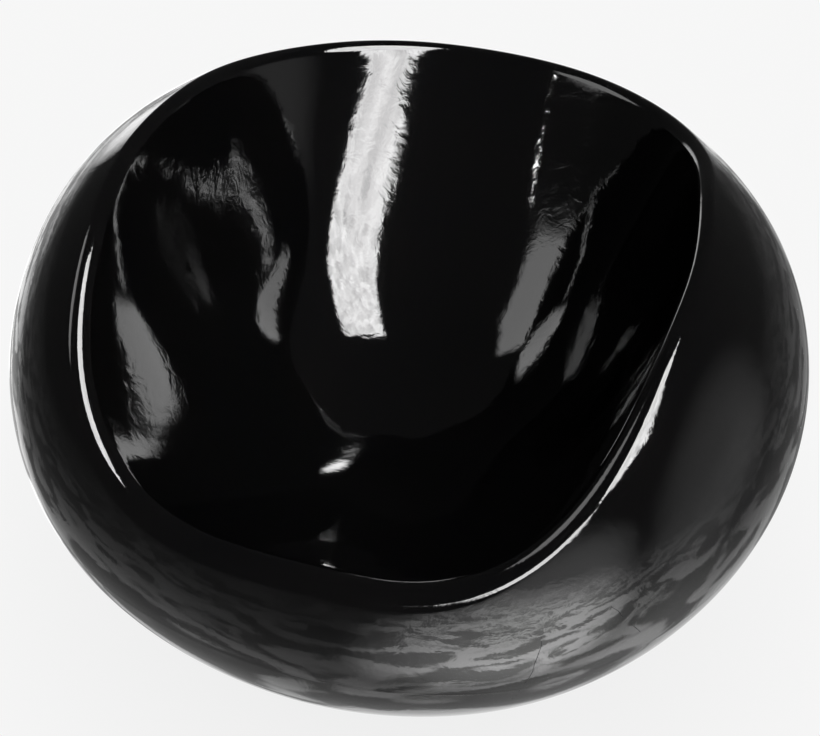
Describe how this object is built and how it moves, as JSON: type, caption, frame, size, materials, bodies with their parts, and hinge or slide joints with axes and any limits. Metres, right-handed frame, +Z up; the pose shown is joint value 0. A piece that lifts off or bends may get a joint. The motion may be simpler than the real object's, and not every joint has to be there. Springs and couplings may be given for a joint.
{
  "type": "rocking lounge chair",
  "caption": "Low legless rocking lounge chair: a flattened-sphere moulded shell with a deep smooth seat hollow, high rolled side rims, a lower front lip and a small flat underneath.",
  "frame": {"origin": "centre of the bounding box at floor level", "axes": "+Z up; the sitter looks along -Y; +X is the sitter's left"},
  "size_m": [0.9186, 0.906, 0.5463],
  "materials": {
    "seat_gelcoat": "high-gloss black gelcoat on glass-fibre laminate",
    "base_gelcoat": "high-gloss black gelcoat on glass-fibre laminate, lightly scuffed",
    "seam_filler": "black polyester filler rubbed flush",
    "bare_laminate": "bare resin and chopped glass",
    "plywood": "raw birch plywood"
  },
  "bodies": {
    "root": {"seat_moulding": "seat_gelcoat", "base_moulding": "base_gelcoat", "seam_filler": "seam_filler", "joint_ring": "bare_laminate", "seat_doubler": "bare_laminate", "base_doubler": "bare_laminate", "long_rib": "plywood", "cross_rib": "plywood"}
  },
  "joints": []
}
